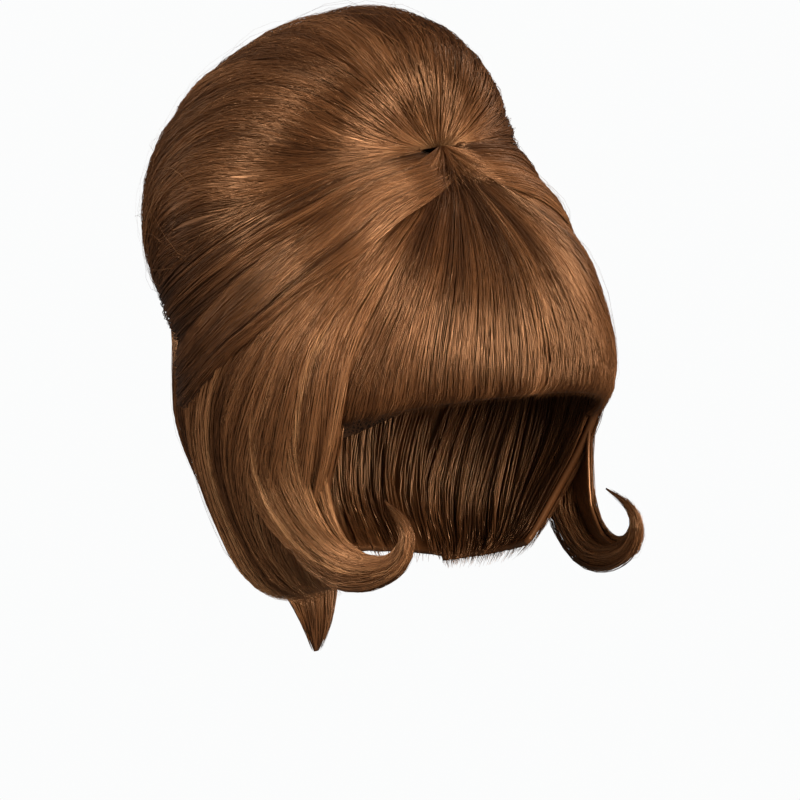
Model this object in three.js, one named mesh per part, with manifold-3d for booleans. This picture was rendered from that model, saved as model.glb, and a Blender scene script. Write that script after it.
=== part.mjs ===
// A beehive wig: a plain cap, a tall teased crown, two swept wings, a fringe, side hair, cheek curls and back
// hair. Millimetres, +Z up, the face looks towards -Y and the wearer's right is -X.
// The origin is where the crown of the wearer's head touches the inside of the cap.
import * as THREE from 'three';
import Module from 'manifold-3d';

const wasm = await Module();
wasm.setup();

// The wearer's head
const HEAD_WIDTH = 150;
const HEAD_LENGTH = 190;
const CROWN_DEPTH = 85; // from the crown of the head down to its widest level
const SKULL_DEPTH = 135; // how far the back of the head goes on below its widest level

// The cap
const CAP_WALL = 2;
const CAP_FRONT_DROP = 46; // from the crown of the head down to the rim, at the forehead
const CAP_EAR_DROP = 104;
const CAP_NAPE_DROP = 150;

// The hair as a whole
const HAIR_WIDTH = 185;
const HAIR_FRONT = 107; // from the head's upright axis forward to the fringe
const HAIR_BACK = 105; // and back to the hair behind the head
const HAIR_DROP = 208; // from the crown of the head down to the cut edge at the jaw
const FRONT_SQUARENESS = 2.25; // 2 makes that half of each level an ellipse
const BACK_SQUARENESS = 2;
const LEFT_DROP = 16; // the fringe's left corner and the left curl hang this much lower than the right ones

// The teased crown, between the knot at its front and the tuck at its back
const KNOT_FORWARD = 32;
const KNOT_RISE = 13;
const TUCK_BACK = 104;
const TUCK_DROP = 74;
const PUFF_RISE = 90; // from the line between knot and tuck up to the top
const PUFF_WIDTH = 182;
const PUFF_BELLY = 45; // how far the teased hair goes on below that line

// Locks and layers
const LOCK_DEPTH = 1.6; // the furrows between two locks
const WING_LIFT = 4.5; // how far a wing stands proud of the hair below it
const LAYER_GAP = 0.3; // between hair and hair, and hair and cap
const FACET_ALLOWANCE = 0.3; // what flat faces take off a curved seat
const SLIVER = 0.2; // detail this fine is left out where a cut makes it

// The cheek curls
const CURL_WIDTH = 20;
const CURL_THICKNESS = 8;

// The nape point
const NAPE_WIDTH = 44;
const NAPE_THICKNESS = 7;
const NAPE_TIP_DROP = 241;

const COLOURS = { hair: 0x6a4529, cap: 0x2a1c14 };

// Tables

// Levels of the whole head of hair: the drop is a share of HAIR_DROP, and the others of half of HAIR_WIDTH,
// of HAIR_FRONT and of HAIR_BACK.
const HAIR_LEVELS = [
  { drop: -0.064, width: 0.2, front: 0.3, back: 0.55 },
  { drop: -0.01, width: 0.49, front: 0.45, back: 0.72 },
  { drop: 0.04, width: 0.63, front: 0.57, back: 0.8 },
  { drop: 0.1, width: 0.74, front: 0.7, back: 0.86 },
  { drop: 0.17, width: 0.84, front: 0.82, back: 0.91 },
  { drop: 0.26, width: 0.92, front: 0.91, back: 0.945 },
  { drop: 0.35, width: 0.97, front: 0.965, back: 0.955 },
  { drop: 0.42, width: 0.99, front: 0.995, back: 0.96 },
  { drop: 0.48, width: 0.995, front: 0.99, back: 0.965 },
  { drop: 0.55, width: 0.985, front: 0.965, back: 0.965 },
  { drop: 0.62, width: 0.955, front: 0.93, back: 0.955 },
  { drop: 0.69, width: 0.905, front: 0.89, back: 0.935 },
  { drop: 0.76, width: 0.845, front: 0.83, back: 0.9 },
  { drop: 0.83, width: 0.775, front: 0.75, back: 0.855 },
  { drop: 0.9, width: 0.71, front: 0.65, back: 0.79 },
  { drop: 0.96, width: 0.605, front: 0.53, back: 0.7 },
  { drop: 1, width: 0.5, front: 0.42, back: 0.6 },
];

// The crown from knot to tuck: where a strand over the top and one round the side are, as shares of the line
// from knot to tuck, of PUFF_RISE and of half of PUFF_WIDTH.
const PUFF_STATIONS = [
  { strand: 0, topAlong: 0, rise: 0.02, sideAlong: 0, spread: 0.03 },
  { strand: 0.06, topAlong: -0.08, rise: 0.12, sideAlong: 0.02, spread: 0.34 },
  { strand: 0.14, topAlong: -0.12, rise: 0.31, sideAlong: 0.09, spread: 0.61 },
  { strand: 0.24, topAlong: -0.09, rise: 0.54, sideAlong: 0.21, spread: 0.82 },
  { strand: 0.36, topAlong: 0.06, rise: 0.82, sideAlong: 0.36, spread: 0.95 },
  { strand: 0.48, topAlong: 0.29, rise: 0.97, sideAlong: 0.5, spread: 1 },
  { strand: 0.6, topAlong: 0.54, rise: 1, sideAlong: 0.63, spread: 0.985 },
  { strand: 0.72, topAlong: 0.77, rise: 0.87, sideAlong: 0.76, spread: 0.89 },
  { strand: 0.84, topAlong: 0.92, rise: 0.61, sideAlong: 0.88, spread: 0.69 },
  { strand: 0.94, topAlong: 0.98, rise: 0.28, sideAlong: 0.96, spread: 0.36 },
  { strand: 1, topAlong: 1, rise: 0.03, sideAlong: 1, spread: 0.03 },
];

// The sheets of hair, each from its roots at the first row to its tips at the last. An angle is in degrees
// round the head from the face. A drop, and the corner and bow that are added to it at a sheet's edges and at
// its middle, are shares of HAIR_DROP. The depth is a share of the space between head and hair at the ears,
// the turn is how much the tips turn under, and the lift is a share of WING_LIFT.
const FRINGE_STATIONS = [
  { drop: -0.03, edge: 12, corner: 0.01, depth: 0.55, turn: 0 },
  { drop: 0.02, edge: 19, corner: 0.01, depth: 0.75, turn: 0 },
  { drop: 0.07, edge: 33, corner: 0.02, depth: 0.9, turn: 0 },
  { drop: 0.13, edge: 42, corner: 0.025, depth: 1, turn: 0 },
  { drop: 0.2, edge: 49, corner: 0.035, depth: 1, turn: 0 },
  { drop: 0.28, edge: 54, corner: 0.05, depth: 0.9, turn: 0 },
  { drop: 0.35, edge: 57, corner: 0.07, depth: 0.75, turn: 0.05 },
  { drop: 0.405, edge: 58, corner: 0.09, depth: 0.5, turn: 0.25 },
  { drop: 0.43, edge: 58.5, corner: 0.1, depth: 0.15, turn: 0.6 },
];

const SIDE_STATIONS = [
  { frontAngle: 14, frontDrop: 0, backAngle: 100, backDrop: 0.3, bow: -0.04, depth: 0.8, turn: 0 },
  { frontAngle: 34, frontDrop: 0.09, backAngle: 107, backDrop: 0.42, bow: -0.06, depth: 0.9, turn: 0 },
  { frontAngle: 47, frontDrop: 0.19, backAngle: 112, backDrop: 0.52, bow: -0.06, depth: 1, turn: 0 },
  { frontAngle: 54, frontDrop: 0.3, backAngle: 116, backDrop: 0.61, bow: -0.05, depth: 0.9, turn: 0 },
  { frontAngle: 57.5, frontDrop: 0.42, backAngle: 118, backDrop: 0.7, bow: -0.035, depth: 0.85, turn: 0 },
  { frontAngle: 59.5, frontDrop: 0.53, backAngle: 119, backDrop: 0.78, bow: -0.02, depth: 0.8, turn: 0 },
  { frontAngle: 64, frontDrop: 0.64, backAngle: 119, backDrop: 0.85, bow: -0.01, depth: 0.75, turn: 0 },
  { frontAngle: 68.5, frontDrop: 0.75, backAngle: 118, backDrop: 0.91, bow: 0, depth: 0.65, turn: 0.05 },
  { frontAngle: 68, frontDrop: 0.85, backAngle: 116, backDrop: 0.955, bow: 0.005, depth: 0.5, turn: 0.15 },
  { frontAngle: 65, frontDrop: 0.92, backAngle: 114, backDrop: 0.985, bow: 0.01, depth: 0.2, turn: 0.35 },
];

const BACK_STATIONS = [
  { edge: 101, drop: 0.31, bow: 0.04, depth: 0.8, turn: 0 },
  { edge: 108, drop: 0.43, bow: 0.04, depth: 1, turn: 0 },
  { edge: 113, drop: 0.53, bow: 0.04, depth: 1, turn: 0 },
  { edge: 117, drop: 0.62, bow: 0.04, depth: 0.9, turn: 0 },
  { edge: 119, drop: 0.71, bow: 0.03, depth: 0.85, turn: 0 },
  { edge: 120, drop: 0.79, bow: 0.025, depth: 0.8, turn: 0 },
  { edge: 120, drop: 0.86, bow: 0.02, depth: 0.7, turn: 0 },
  { edge: 119, drop: 0.93, bow: 0.01, depth: 0.55, turn: 0.05 },
  { edge: 116, drop: 0.985, bow: 0.01, depth: 0.2, turn: 0.3 },
];

const WING_STATIONS = [
  { topAngle: 4, topDrop: -0.05, lowAngle: 4, lowDrop: 0, depth: 0.35, lift: 0.4 },
  { topAngle: 32, topDrop: -0.035, lowAngle: 20, lowDrop: 0.022, depth: 0.7, lift: 0.85 },
  { topAngle: 58, topDrop: -0.01, lowAngle: 38, lowDrop: 0.062, depth: 1, lift: 1 },
  { topAngle: 75, topDrop: 0.045, lowAngle: 55, lowDrop: 0.13, depth: 1.1, lift: 1 },
  { topAngle: 88, topDrop: 0.11, lowAngle: 72, lowDrop: 0.21, depth: 1.1, lift: 1 },
  { topAngle: 99, topDrop: 0.195, lowAngle: 86, lowDrop: 0.315, depth: 1.1, lift: 1 },
  { topAngle: 112, topDrop: 0.27, lowAngle: 101, lowDrop: 0.43, depth: 1, lift: 1 },
  { topAngle: 127, topDrop: 0.315, lowAngle: 117, lowDrop: 0.525, depth: 1, lift: 0.8 },
  { topAngle: 144, topDrop: 0.335, lowAngle: 136, lowDrop: 0.57, depth: 0.9, lift: 0.7 },
  { topAngle: 161, topDrop: 0.34, lowAngle: 157, lowDrop: 0.58, depth: 0.8, lift: 0.65 },
  { topAngle: 179, topDrop: 0.34, lowAngle: 179, lowDrop: 0.58, depth: 0.8, lift: 0.65 },
];

// The cheek curl's middle line: out, forward and drop as shares of half of HAIR_WIDTH, of HAIR_FRONT and of
// HAIR_DROP. Width and thickness are shares of CURL_WIDTH and CURL_THICKNESS.
const CURL_STATIONS = [
  { out: 0.905, forward: 0.49, drop: 0.44, width: 0.3, thickness: 0.3 },
  { out: 0.9, forward: 0.42, drop: 0.52, width: 0.6, thickness: 0.5 },
  { out: 0.893, forward: 0.33, drop: 0.6, width: 0.8, thickness: 0.7 },
  { out: 0.87, forward: 0.265, drop: 0.68, width: 1, thickness: 0.9 },
  { out: 0.84, forward: 0.3, drop: 0.75, width: 1, thickness: 1 },
  { out: 0.805, forward: 0.446, drop: 0.797, width: 0.85, thickness: 0.95 },
  { out: 0.785, forward: 0.6, drop: 0.8, width: 0.65, thickness: 0.85 },
  { out: 0.76, forward: 0.724, drop: 0.78, width: 0.5, thickness: 0.75 },
  { out: 0.745, forward: 0.818, drop: 0.746, width: 0.42, thickness: 0.62 },
  { out: 0.735, forward: 0.862, drop: 0.697, width: 0.33, thickness: 0.48 },
  { out: 0.728, forward: 0.816, drop: 0.656, width: 0.2, thickness: 0.3 },
  { out: 0.715, forward: 0.69, drop: 0.63, width: 0.06, thickness: 0.1 },
];

// The nape point's middle line, behind the head's axis as shares of HAIR_BACK and down as shares of
// NAPE_TIP_DROP, with width and thickness as shares of NAPE_WIDTH and NAPE_THICKNESS.
const NAPE_STATIONS = [
  { back: 0.62, drop: 0.8, width: 1, thickness: 0.9 },
  { back: 0.59, drop: 0.85, width: 0.85, thickness: 1 },
  { back: 0.55, drop: 0.9, width: 0.6, thickness: 0.8 },
  { back: 0.53, drop: 0.95, width: 0.35, thickness: 0.55 },
  { back: 0.535, drop: 1, width: 0.08, thickness: 0.15 },
];

// The cap's rim, from the forehead round over the ear to the nape
const RIM_STATIONS = [
  { angle: 0, drop: CAP_FRONT_DROP },
  { angle: 30, drop: CAP_FRONT_DROP + 0.12 * (CAP_EAR_DROP - CAP_FRONT_DROP) },
  { angle: 62, drop: CAP_FRONT_DROP + 0.9 * (CAP_EAR_DROP - CAP_FRONT_DROP) },
  { angle: 95, drop: CAP_EAR_DROP },
  { angle: 125, drop: CAP_EAR_DROP + 0.55 * (CAP_NAPE_DROP - CAP_EAR_DROP) },
  { angle: 155, drop: CAP_EAR_DROP + 0.93 * (CAP_NAPE_DROP - CAP_EAR_DROP) },
  { angle: 180, drop: CAP_NAPE_DROP },
];

const { degToRad, lerp, clamp } = THREE.MathUtils;

// A smooth function of the key column, which gives all the columns of a table between its rows.
function smoothTable(rows, key) {
  const names = Object.keys(rows[0]).filter((name) => name !== key);
  const keys = rows.map((row) => row[key]);
  const samples = rows.flatMap((row) => names.map((name) => row[name]));
  const curve = new THREE.CubicInterpolant(keys, samples, names.length);
  return (at) => {
    const values = curve.evaluate(clamp(at, keys[0], keys[keys.length - 1]));
    return Object.fromEntries(names.map((name, i) => [name, values[i]]));
  };
}

// The row numbers as a strand share from 0 to 1, for a table that has none of its own.
function withStrand(rows) {
  return rows.map((row, i) => ({ strand: i / (rows.length - 1), ...row }));
}

const hairLevel = smoothTable(HAIR_LEVELS, 'drop');
const rimAt = smoothTable(RIM_STATIONS, 'angle');
const puffAt = smoothTable(PUFF_STATIONS, 'strand');
const fringeAt = smoothTable(withStrand(FRINGE_STATIONS), 'strand');
const sideAt = smoothTable(withStrand(SIDE_STATIONS), 'strand');
const backAt = smoothTable(withStrand(BACK_STATIONS), 'strand');
const wingAt = smoothTable(withStrand(WING_STATIONS), 'strand');
const curlAt = smoothTable(withStrand(CURL_STATIONS), 'strand');
const napeAt = smoothTable(withStrand(NAPE_STATIONS), 'strand');

// A sin or cos bent towards a square, with its sign
function squared(value, squareness) {
  return Math.sign(value) * Math.abs(value) ** (2 / squareness);
}

// A point on the outside of the head of hair. The angle is in degrees from the face, positive to the wearer's
// left.
function hairPoint(angle, drop) {
  const level = hairLevel(drop);
  const around = degToRad(angle);
  const inFront = Math.cos(around) > 0;
  const squareness = inFront ? FRONT_SQUARENESS : BACK_SQUARENESS;
  const reach = inFront ? level.front * HAIR_FRONT : level.back * HAIR_BACK;
  return new THREE.Vector3(
    (squared(Math.sin(around), squareness) * level.width * HAIR_WIDTH) / 2,
    -squared(Math.cos(around), squareness) * reach,
    -drop * HAIR_DROP,
  );
}

// The outward direction there
function hairNormal(angle, drop) {
  const step = 0.01;
  const across = hairPoint(angle + 1, drop).sub(hairPoint(angle - 1, drop));
  const down = hairPoint(angle, drop + step).sub(hairPoint(angle, drop - step));
  return down.cross(across).normalize();
}

// A point on the head, or on a shell that is the given distance outside it
function headPoint(angle, polar, outside) {
  const around = degToRad(angle);
  const fall = Math.cos(polar);
  const depth = (fall > 0 ? CROWN_DEPTH : SKULL_DEPTH) + outside;
  return new THREE.Vector3(
    Math.sin(around) * Math.sin(polar) * (HEAD_WIDTH / 2 + outside),
    -Math.cos(around) * Math.sin(polar) * (HEAD_LENGTH / 2 + outside),
    fall * depth - CROWN_DEPTH,
  );
}

// The rounded backs of locks side by side, from 0 in a furrow to 1 on a lock. The share runs across them all.
function lockHeight(share, locks) {
  const uneven = share * locks + 0.22 * Math.sin(share * locks * 1.9);
  const inLock = uneven - Math.floor(uneven);
  return 1 - (2 * inLock - 1) ** 2;
}

// A closed solid through rings of points, which may run either way round. Each has the same even number of
// points, and the first and last one are closed by a strip between their two halves.
function solidThrough(rings) {
  const count = rings[0].length;
  const triangles = [];
  const addQuad = (a, b, c, d) => triangles.push(a, b, c, a, c, d);
  for (let row = 0; row + 1 < rings.length; row += 1) {
    for (let i = 0; i < count; i += 1) {
      const next = (i + 1) % count;
      addQuad(row * count + i, row * count + next, (row + 1) * count + next, (row + 1) * count + i);
    }
  }
  const last = (rings.length - 1) * count;
  for (let i = 0; i + 1 < count / 2; i += 1) {
    const far = count - 1 - i;
    addQuad(i, far, far - 1, i + 1);
    addQuad(last + i, last + i + 1, last + far - 1, last + far);
  }
  const solid = new wasm.Manifold(new wasm.Mesh({
    numProp: 3,
    vertProperties: new Float32Array(rings.flat().flatMap((point) => point.toArray())),
    triVerts: new Uint32Array(triangles),
  }));
  return solid.volume() > 0 ? solid : solidThrough(rings.map((ring) => [...ring].reverse()));
}

// What the tools leave of a solid, without slivers and without any crumbs that they cut off
function cut(solid, ...tools) {
  const bodies = tools.reduce((rest, tool) => rest.subtract(tool), solid).simplify(SLIVER).decompose();
  return bodies.reduce((largest, body) => (body.volume() > largest.volume() ? body : largest));
}

function shares(count) {
  return Array.from({ length: count + 1 }, (_, i) => i / count);
}

function geometryOf(solid) {
  const { vertProperties, triVerts } = solid.getMesh();
  const geometry = new THREE.BufferGeometry();
  geometry.setAttribute('position', new THREE.BufferAttribute(vertProperties, 3));
  geometry.setIndex(new THREE.BufferAttribute(triVerts, 1));
  geometry.computeVertexNormals();
  return geometry;
}

function meshOf(name, solid, colour, roughness) {
  const material = new THREE.MeshStandardMaterial({ color: colour, roughness, metalness: 0 });
  const mesh = new THREE.Mesh(geometryOf(solid), material);
  mesh.name = name;
  return mesh;
}

// The head as one solid, grown by a distance, which is what the pieces on the cap are hollowed with
function headSolid(outside) {
  const angles = shares(32).slice(0, -1).map((share) => share * 360);
  const polars = shares(20).map((share) => lerp(0.03, Math.PI - 0.03, share));
  return solidThrough(polars.map((polar) => angles.map((angle) => headPoint(angle, polar, outside))));
}

// The cap is one wall: from the crown down the outside to the rim, and back up the inside.
function capSolid() {
  const angles = shares(32).slice(0, -1).map((share) => share * 360);
  const steps = shares(7).map((share) => lerp(0.04, 1, share));
  const rimPolar = (angle) => {
    const fall = CROWN_DEPTH - rimAt(angle > 180 ? 360 - angle : angle).drop;
    return Math.acos(fall / (fall > 0 ? CROWN_DEPTH : SKULL_DEPTH));
  };
  const ring = (step, outside) => angles.map((angle) => headPoint(angle, step * rimPolar(angle), outside));
  return solidThrough([
    ...steps.map((step) => ring(step, CAP_WALL)),
    ...steps.reverse().map((step) => ring(step, 0)),
  ]);
}

// The teased crown. Each strand lies in a plane through the line from knot to tuck.
const knot = new THREE.Vector3(0, -KNOT_FORWARD, KNOT_RISE);
const tuck = new THREE.Vector3(0, TUCK_BACK, -TUCK_DROP);
const knotToTuck = tuck.clone().sub(knot);
const puffUp = new THREE.Vector3(1, 0, 0).cross(knotToTuck).normalize();

function puffPoint(turn, strand, outside) {
  const at = puffAt(strand);
  const around = degToRad(turn);
  const up = Math.cos(around);
  const side = Math.sin(around);
  const along = lerp(at.topAlong, at.sideAlong, side * side);
  const rise = up > 0 ? at.rise * PUFF_RISE : Math.min(at.rise, at.spread) * PUFF_BELLY;
  const spread = (at.spread * PUFF_WIDTH) / 2;
  return knot.clone()
    .addScaledVector(knotToTuck, up > 0 ? along : at.sideAlong)
    .addScaledVector(puffUp, up * (rise + outside))
    .add(new THREE.Vector3(side * (spread + outside), 0, 0));
}

// The outside is how far a tool that cuts room for the crown stands off it. A tool has no furrows.
function puffSolid(outside = 0) {
  const topTurn = 100;
  const locks = 17;
  const top = shares(locks * 3).map((share) => ({ turn: lerp(-topTurn, topTurn, share), share }));
  const onLock = 0.5 / locks;
  const below = shares(9).slice(1, -1);
  const belly = below.map((share) => ({ turn: lerp(topTurn, 360 - topTurn, share), share: onLock }));
  const ring = (strand) => [...top, ...belly].map(({ turn, share }) => {
    const furrow = LOCK_DEPTH * (1 - lockHeight(share, locks)) * Math.sin(Math.PI * strand) ** 0.5;
    return puffPoint(turn, strand, outside || -furrow);
  });
  return solidThrough(shares(12).map((strand) => ring(lerp(0.005, 0.995, strand))));
}

// A sheet of hair between two edges, with locks outside and a plain inside. The outside is how far a tool
// that cuts room for the sheet stands off it on all sides. A tool has no furrows.
function sheetSolid(placeAt, { locks, columns, rows }, outside = 0) {
  const onHair = ({ angle, drop }) => hairPoint(angle, drop);
  const ring = (strand) => {
    const margin = outside / onHair(placeAt(0, strand)).distanceTo(onHair(placeAt(1, strand)));
    const beyond = strand === 0 ? -outside : strand === 1 ? outside : 0;
    const point = (share, inside) => {
      const across = lerp(-margin, 1 + margin, share);
      const place = placeAt(across, strand);
      const ahead = onHair(placeAt(across, Math.min(1, strand + 0.02)));
      const behind = onHair(placeAt(across, Math.max(0, strand - 0.02)));
      const along = ahead.sub(behind).normalize();
      const edge = Math.sqrt(Math.max(0, 1 - (2 * share - 1) ** 8));
      const furrow = outside > 0 ? 0 : LOCK_DEPTH * (1 - lockHeight(share, locks));
      const skin = place.lift + outside - furrow;
      const depth = Math.min(place.lift - outside - place.depth * lerp(0.35, 1, edge), skin - 1);
      return onHair(place)
        .addScaledVector(hairNormal(place.angle, place.drop), inside ? depth : skin)
        .addScaledVector(along, beyond);
    };
    return [
      ...shares(columns).map((share) => point(share, false)),
      ...shares(columns).reverse().map((share) => point(share, true)),
    ];
  };
  return solidThrough(shares(rows).map(ring));
}

// How deep a full sheet is: the space between head and hair at the ears
const fullDepth = HAIR_WIDTH / 2 - HEAD_WIDTH / 2 - CAP_WALL;

function fringePlace(across, strand) {
  const at = fringeAt(strand);
  const aside = 2 * across - 1;
  return {
    angle: aside * at.edge,
    drop: at.drop + at.corner * aside ** 2 + (strand * aside * LEFT_DROP) / 2 / HAIR_DROP,
    depth: at.depth * fullDepth,
    lift: -at.turn * fullDepth * 0.6,
  };
}

function sidePlace(across, strand) {
  const at = sideAt(strand);
  return {
    angle: lerp(at.frontAngle, at.backAngle, across),
    drop: lerp(at.frontDrop, at.backDrop, across) + 4 * at.bow * across * (1 - across),
    depth: at.depth * fullDepth,
    lift: -at.turn * fullDepth * 0.6,
  };
}

function backPlace(across, strand) {
  const at = backAt(strand);
  return {
    angle: lerp(at.edge, 360 - at.edge, across),
    drop: at.drop + 4 * at.bow * across * (1 - across),
    depth: at.depth * fullDepth,
    lift: -at.turn * fullDepth * 0.6,
  };
}

function wingPlace(across, strand) {
  const at = wingAt(strand);
  return {
    angle: lerp(at.topAngle, at.lowAngle, across),
    drop: lerp(at.topDrop, at.lowDrop, across),
    depth: at.depth * fullDepth,
    lift: at.lift * WING_LIFT,
  };
}

function mirrored(placeAt, side) {
  return (across, strand) => {
    const place = placeAt(across, strand);
    return { ...place, angle: side * place.angle };
  };
}

// A lock swept along its middle line, wide across one direction and thin across the other
function lockSolid(middleAt, widthAlong, { rows, points }) {
  const ring = (strand) => {
    const at = middleAt(strand);
    const ahead = middleAt(Math.min(1, strand + 0.01)).point;
    const behind = middleAt(Math.max(0, strand - 0.01)).point;
    const tangent = ahead.sub(behind).normalize();
    const thin = widthAlong(tangent);
    const wide = thin.clone().cross(tangent).normalize();
    return shares(points).slice(0, -1).map((share) => {
      const turn = share * 2 * Math.PI;
      const furrow = 1 - 0.16 * Math.abs(Math.sin(3 * turn));
      return at.point.clone()
        .addScaledVector(wide, Math.cos(turn) * (at.width / 2) * furrow)
        .addScaledVector(thin, Math.sin(turn) * (at.thickness / 2) * furrow);
    });
  };
  return solidThrough(shares(rows).map(ring));
}

function curlMiddle(side) {
  return (strand) => {
    const at = curlAt(strand);
    const lower = side > 0 ? LEFT_DROP * Math.min(1, 2 * strand) : 0;
    return {
      point: new THREE.Vector3(
        (side * at.out * HAIR_WIDTH) / 2,
        -at.forward * HAIR_FRONT,
        -at.drop * HAIR_DROP - lower,
      ),
      width: at.width * CURL_WIDTH,
      thickness: at.thickness * CURL_THICKNESS,
    };
  };
}

function napeMiddle(strand) {
  const at = napeAt(strand);
  return {
    point: new THREE.Vector3(0, at.back * HAIR_BACK, -at.drop * NAPE_TIP_DROP),
    width: at.width * NAPE_WIDTH,
    thickness: at.thickness * NAPE_THICKNESS,
  };
}

const outwards = (tangent) => new THREE.Vector3(1, 0, 0).projectOnPlane(tangent).normalize();
const backwards = (tangent) => new THREE.Vector3(0, 1, 0).projectOnPlane(tangent).normalize();

const SHEETS = {
  fringe: { locks: 9, columns: 27, rows: 9 },
  side: { locks: 7, columns: 21, rows: 10 },
  back: { locks: 8, columns: 24, rows: 9 },
  wing: { locks: 3, columns: 9, rows: 20 },
};
const CURL_GRID = { rows: 22, points: 10 };

// Each piece is cut clear of the ones made before it.
const clear = LAYER_GAP + FACET_ALLOWANCE;
const wig = new THREE.Group();
const seat = headSolid(CAP_WALL + clear);
const crownTool = puffSolid(clear);
const fringeTool = sheetSolid(fringePlace, SHEETS.fringe, clear);
const backTool = sheetSolid(backPlace, SHEETS.back, clear);
const fringe = cut(sheetSolid(fringePlace, SHEETS.fringe), seat, crownTool);
const backHair = cut(sheetSolid(backPlace, SHEETS.back), seat, crownTool);
const napePoint = cut(lockSolid(napeMiddle, backwards, { rows: 8, points: 10 }), seat, backTool);

wig.add(
  meshOf('wig_cap', capSolid(), COLOURS.cap, 0.9),
  meshOf('crown_puff', cut(puffSolid(), seat), COLOURS.hair, 0.45),
  meshOf('fringe', fringe, COLOURS.hair, 0.45),
  meshOf('back_hair', backHair, COLOURS.hair, 0.45),
  meshOf('nape_point', napePoint, COLOURS.hair, 0.45),
);
for (const [side, hand] of [[-1, 'right'], [1, 'left']]) {
  const placeOnSide = mirrored(sidePlace, side);
  const placeOnWing = mirrored(wingPlace, side);
  const sideTool = sheetSolid(placeOnSide, SHEETS.side, clear);
  const sideHair = cut(sheetSolid(placeOnSide, SHEETS.side), seat, crownTool, fringeTool, backTool);
  const wingSheet = sheetSolid(placeOnWing, SHEETS.wing);
  const wing = cut(wingSheet, seat, crownTool, fringeTool, backTool, sideTool);
  const curl = cut(lockSolid(curlMiddle(side), outwards, CURL_GRID), seat, sideTool, fringeTool);
  wig.add(
    meshOf(`side_hair_${hand}`, sideHair, COLOURS.hair, 0.45),
    meshOf(`swept_wing_${hand}`, wing, COLOURS.hair, 0.45),
    meshOf(`cheek_curl_${hand}`, curl, COLOURS.hair, 0.45),
  );
}

export default wig;
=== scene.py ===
import math
import bmesh
import bpy
import numpy as np
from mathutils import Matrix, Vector


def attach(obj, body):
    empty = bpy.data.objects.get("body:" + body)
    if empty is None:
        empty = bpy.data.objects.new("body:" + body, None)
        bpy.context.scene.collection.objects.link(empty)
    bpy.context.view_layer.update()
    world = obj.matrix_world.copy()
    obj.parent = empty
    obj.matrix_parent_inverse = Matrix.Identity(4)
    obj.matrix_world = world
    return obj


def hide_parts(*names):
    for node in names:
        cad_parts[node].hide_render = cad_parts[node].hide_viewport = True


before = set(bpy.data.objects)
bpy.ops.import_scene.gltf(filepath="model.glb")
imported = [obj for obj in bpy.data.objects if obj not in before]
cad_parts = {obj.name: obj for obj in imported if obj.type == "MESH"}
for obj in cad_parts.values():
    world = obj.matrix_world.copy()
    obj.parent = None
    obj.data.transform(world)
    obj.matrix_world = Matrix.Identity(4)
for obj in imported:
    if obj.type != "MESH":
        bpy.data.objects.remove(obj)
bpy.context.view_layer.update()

# The head of hair
# The outside of the hair before the crown and the wings are laid over it, at levels from the top of the head
# down to the cut edge. The tables hold shares of the sizes. They follow the ones the solids were made from,
# and differ a little where strands reach under or over the hair beside them.
MM = 0.001
HAIR_WIDTH = 185 * MM
HAIR_FRONT = 107 * MM
HAIR_BACK = 105 * MM
HAIR_DROP = 208 * MM
FRONT_SQUARENESS = 2.25
BACK_SQUARENESS = 2

# drop, width, front, back
HAIR_LEVELS = (
    (-0.064, 0.2, 0.3, 0.55),
    (-0.01, 0.49, 0.45, 0.72),
    (0.04, 0.63, 0.57, 0.8),
    (0.1, 0.74, 0.7, 0.86),
    (0.17, 0.84, 0.82, 0.91),
    (0.26, 0.92, 0.91, 0.945),
    (0.35, 0.97, 0.965, 0.955),
    (0.42, 0.99, 0.995, 0.96),
    (0.48, 0.995, 0.99, 0.965),
    (0.55, 0.985, 0.965, 0.965),
    (0.62, 0.955, 0.93, 0.955),
    (0.69, 0.905, 0.89, 0.935),
    (0.76, 0.845, 0.83, 0.9),
    (0.83, 0.775, 0.75, 0.855),
    (0.9, 0.71, 0.65, 0.79),
    (0.96, 0.605, 0.53, 0.7),
    (1.0, 0.5, 0.42, 0.6),
)


def smooth(rows, at):
    """The other columns of a table where its first has these values, on a smooth curve through its rows."""
    rows = np.array(rows, float)
    keys, values = rows[:, 0], rows[:, 1:]
    at = np.clip(at, keys[0], keys[-1])
    slopes = np.empty_like(values)
    slopes[1:-1] = (values[2:] - values[:-2]) / (keys[2:] - keys[:-2])[:, None]
    slopes[0] = (values[1] - values[0]) / (keys[1] - keys[0])
    slopes[-1] = (values[-1] - values[-2]) / (keys[-1] - keys[-2])
    i = np.clip(np.searchsorted(keys, at, side="right") - 1, 0, len(keys) - 2)
    gap = keys[i + 1] - keys[i]
    t = ((at - keys[i]) / gap)[..., None]
    gap = gap[..., None]
    result = (
        (2 * t**3 - 3 * t**2 + 1) * values[i]
        + (t**3 - 2 * t**2 + t) * gap * slopes[i]
        + (3 * t**2 - 2 * t**3) * values[i + 1]
        + (t**3 - t**2) * gap * slopes[i + 1]
    )
    return np.moveaxis(result, -1, 0)


def unit(directions):
    return directions / np.maximum(np.linalg.norm(directions, axis=-1, keepdims=True), 1e-12)


def hair_point(angle, drop):
    """A point on the outside of the hair. The angle is in degrees from the face, to the wearer's left."""
    width, front, back = smooth(HAIR_LEVELS, drop)
    sine, cosine = np.sin(np.radians(angle)), np.cos(np.radians(angle))
    power = 2 / np.where(cosine > 0, FRONT_SQUARENESS, BACK_SQUARENESS)
    out = np.sign(sine) * np.abs(sine) ** power
    forward = np.sign(cosine) * np.abs(cosine) ** power
    reach = np.where(cosine > 0, front * HAIR_FRONT, back * HAIR_BACK)
    return np.stack([out * width * HAIR_WIDTH / 2, -forward * reach, -drop * HAIR_DROP], axis=-1)


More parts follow.
